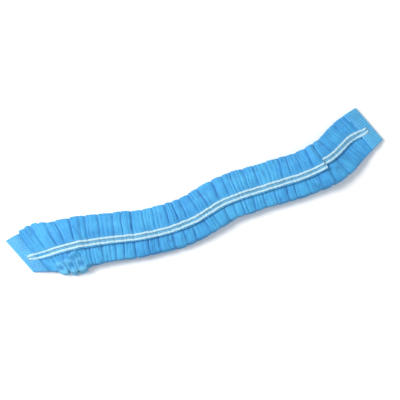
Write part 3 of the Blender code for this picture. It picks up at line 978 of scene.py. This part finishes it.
clothLook = {
    "light": rgba(0.060, 0.40, 0.72),
    "middle": rgba(0.032, 0.29, 0.64),
    # a dark blue: painted shade in the creases, the puckers' valleys, below the hem and in the frills'
    # hollows, and the welds' pressed bond points
    "shadeAndBondBlue": rgba(0.005, 0.085, 0.33),
    "pale": rgba(0.15, 0.38, 0.54),
    # a paler blue: painted highlight on the frills' edges, rings and the first tuck's crest, and the welds'
    # paler faces and cut
    "rim": rgba(0.17, 0.55, 0.80),
    "fibres": (12, 71, 128, 163),  # degrees, the ways that the fibres run
    "fibreStretch": (2.2, 34, 1),
    "fibreScale": 1.6,
    "creases": (3.4, 0.4, 1),  # fine creases across the strip, in waves for each centimetre
    "creaseWidth": 0.035,
    "clusterScale": 0.9,
    "bondPitch": 1.5,
    "bondEdge": (0.16, 0.34),  # from its middle: where a bond point's slope starts and ends
    "bondJitter": 0.16,
    "cloudScale": 75,
    "patchScale": 420,
    # how sharply the painted shade gathers in the puckers' valleys
    "valleyShadePower": 1.6,
    "roughness": 0.62,
    "sheen": 0.2,
    "sheenRoughness": 0.45,
    # painted shade and painted highlight are among these shares
    "shares": {  # how much of each thing's colour is mixed in
        "fibres": 0.3, "crease": 0.3, "valley": 0.8, "under": 0.68,
        "band": 0.75, "rim": 0.7, "weld": 0.3, "pressed": 0.35,
    },
    "relief": {"fibres": 0.5, "patches": 0.35, "pressed": 0.35, "fused": 0.9, "crease": 1.6},
    "reliefDepth": 0.00025,  # metres, for a relief of 1
    "reliefStrength": 0.6,
}


def fibreNoise(board, uv, look):
    # streaks of noise along each of a few directions, the brightest of them kept
    fibres = None
    for degrees in look["fibres"]:
        turned = board.stretch(uv, look["fibreStretch"], degrees)
        streak = board.noise(turned, look["fibreScale"], 3, Distortion=0.6)
        fibres = streak.math("MAXIMUM", fibres, streak) if fibres else streak
    return fibres


def creaseNoise(board, uv, weld, look):
    # where a noise that is stretched across the strip passes its middle value, in clusters
    # and not on the welds: fine creases, painted with shade
    folds = board.noise(board.stretch(uv, look["creases"]), 1, 2, Roughness=0.55)
    crease = board.ramp(abs(folds - 0.5), 0, look["creaseWidth"], 1, 0)
    clusters = board.noise(uv, look["clusterScale"], 1)
    return crease * board.ramp(weld, 0, 0.2, 1, 0) * board.ramp(clusters, 0.38, 0.6, 0.15, 1)


def bondPoints(board, uv, look):
    # small pressed dots in rows
    inputs = {"Vector": uv, "Scale": 10 / look["bondPitch"], "Randomness": look["bondJitter"]}
    fromDot = board.node("ShaderNodeTexVoronoi", {"feature": "F1"}, inputs, "Distance")
    return board.ramp(fromDot, *look["bondEdge"], 1, 0)


def clothMaterial(look):
    # clouds of two blues, then each thing's colour over them, with painted shade in the creases and
    # hollows and painted highlights on the frills; the relief is the fibres and patches less the bond points
    # and creases
    board = Board("nonwoven blue", look["middle"][:3])
    uv = board.node("ShaderNodeUVMap", {"uv_map": "cloth"})
    place = board.node("ShaderNodeTexCoord", output="Object")
    paint = {}
    for name in ("valley", "band", "under", "rim", "weld"):
        paint[name] = board.node("ShaderNodeAttribute", {"attribute_name": name}, output="Fac")
    fibres = fibreNoise(board, uv, look)
    crease = creaseNoise(board, uv, paint["weld"], look)
    pressed = bondPoints(board, uv, look)
    fused = paint["weld"] ** 4  # the welds' faces without their sides
    clouds = board.noise(place, look["cloudScale"], 4, Roughness=0.6)
    patches = board.noise(place, look["patchScale"], 5, Roughness=0.7)

    clouds = board.ramp(clouds + patches * 0.4, 0.5, 0.95, 0, 1)
    colour = board.mix(clouds, look["middle"], look["light"])
    shares = look["shares"]
    for share, tint in (
        (board.ramp(fibres, 0.55, 0.8, 0, shares["fibres"]), "light"),
        # painted shade in the fine creases
        (crease * shares["crease"], "shadeAndBondBlue"),
        # painted shade in the puckers' valleys
        (paint["valley"] ** look["valleyShadePower"] * shares["valley"], "shadeAndBondBlue"),
        # painted shade below the hem and in the frills' hollows
        (paint["under"] * shares["under"], "shadeAndBondBlue"),
        (paint["band"] * shares["band"], "pale"),
        # painted highlight on the frills' edges, rings and crest, and the pale cut
        (paint["rim"] * shares["rim"], "rim"),
        (paint["weld"] * (1 - pressed) * shares["weld"], "rim"),
        (fused * pressed * shares["pressed"], "shadeAndBondBlue"),
    ):
        colour = board.mix(share, colour, look[tint])

    relief = look["relief"]
    height = fibres * relief["fibres"] + patches * relief["patches"]
    height = height - pressed * (relief["pressed"] + fused * relief["fused"])
    height = height - crease * relief["crease"]
    inputs = {
        "Base Color": colour,
        "Roughness": look["roughness"] + patches * 0.22 - pressed * 0.12 - paint["weld"] * 0.08,
        "Normal": board.bump(height, look["reliefStrength"], look["reliefDepth"]),
        "Sheen Weight": look["sheen"],
        "Sheen Roughness": look["sheenRoughness"],
    }
    return board.finish(inputs)


elasticLook = {
    "white": rgba(0.60, 0.82, 0.90),
    "blue": rgba(0.34, 0.64, 0.82),
    "blueShare": 0.55,
    "turns": 7.5,  # strands crossed in a centimetre
    "mottleScale": 9,
    "reliefDepth": 0.0002,
    "reliefStrength": 0.5,
    "roughness": 0.48,
    "sheen": 0.1,
}


def elasticMaterial(look):
    # slanting strands, bluer and darker in their grooves, a painted shade, and where a random mottle is low
    board = Board("elastic white", look["white"][:3])
    uv = board.node("ShaderNodeUVMap", {"uv_map": "cloth"})
    bands = {"wave_type": "BANDS", "bands_direction": "DIAGONAL"}
    inputs = {"Vector": uv, "Scale": look["turns"], "Distortion": 1.2, "Detail": 2, "Detail Scale": 3}
    strands = board.node("ShaderNodeTexWave", bands, inputs, "Fac")
    mottle = board.noise(uv, look["mottleScale"], 5, Roughness=0.65)
    limits = {"From Min": 0.5, "From Max": 0.95, "To Min": 1, "To Max": 0}
    # bluer and darker in the strands' grooves, a painted shade, and in a random mottle
    tint = board.node("ShaderNodeMapRange", None, {"Value": mottle + strands * 0.25, **limits})
    inputs = {
        "Base Color": board.mix(tint * look["blueShare"], look["white"], look["blue"]),
        "Roughness": look["roughness"] + mottle * 0.25,
        "Normal": board.bump(strands * 0.8 + mottle * 0.5, look["reliefStrength"], look["reliefDepth"]),
        "Sheen Weight": look["sheen"],
    }
    return board.finish(inputs)


floorLook = {
    "light": rgba(0.93, 0.935, 0.94),
    "dark": rgba(0.90, 0.91, 0.92),
    "grainScale": 160,
    "halfWidth": 3000,
}


def floorMaterial(look):
    board = Board("pale floor", look["dark"][:3])
    place = board.node("ShaderNodeTexCoord", output="Object")
    grain = board.noise(place, look["grainScale"], 4)
    colour = board.mix(grain * 0.3, look["light"], look["dark"])
    return board.finish({"Base Color": colour, "Roughness": 0.7 + grain * 0.1})


# The object

along = alongStrip(puckerColumns())
sheet, flatSize = buildCloth(along, clothMaterial(clothLook))
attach(sheet, "root")
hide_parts("cap_sheet")

threads, elasticFinish = [], elasticMaterial(elasticLook)
for level in ("upper", "lower"):
    for row, side in (("front", -1), ("back", 1)):
        thread = buildElastic(f"elastic_{level}_{row}", along, side, level == "upper", elasticFinish)
        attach(thread, "root")
        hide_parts(f"{level}_elastic_{row}")
        threads.append(thread)
print("threads laid")


# Floor and light

studio = {
    "worldColour": rgba(0.96, 0.98, 1),
    "worldStrength": 0.52,
    "key": {"power": 11.6, "size": 500, "at": (-620, 420, 760)},
    "fill": {"power": 3, "size": 1200, "at": (600, -700, 700)},
}


def layFloor(look):
    # a wide square at a height of 0
    half = look["halfWidth"] * mm
    corners = [(-half, -half, 0), (half, -half, 0), (half, half, 0), (-half, half, 0)]
    mesh = bpy.data.meshes.new("floor")
    mesh.from_pydata(corners, [], [(0, 1, 2, 3)])
    mesh.materials.append(floorMaterial(look))
    floor = bpy.data.objects.new("floor", mesh)
    bpy.context.scene.collection.objects.link(floor)


def lightStudio(values):
    # an even, pale world, and two square panels that face the strip
    world = bpy.data.worlds.new("studio")
    world.use_nodes = True
    background = world.node_tree.nodes["Background"]
    background.inputs["Color"].default_value = values["worldColour"]
    background.inputs["Strength"].default_value = values["worldStrength"]
    bpy.context.scene.world = world
    for name in ("key", "fill"):
        data = bpy.data.lights.new(name, "AREA")
        data.energy, data.size = values[name]["power"], values[name]["size"] * mm
        standBack(name, data, Vector(), Vector(values[name]["at"]) * mm)


layFloor(floorLook)
lightStudio(studio)
print("studio lit")
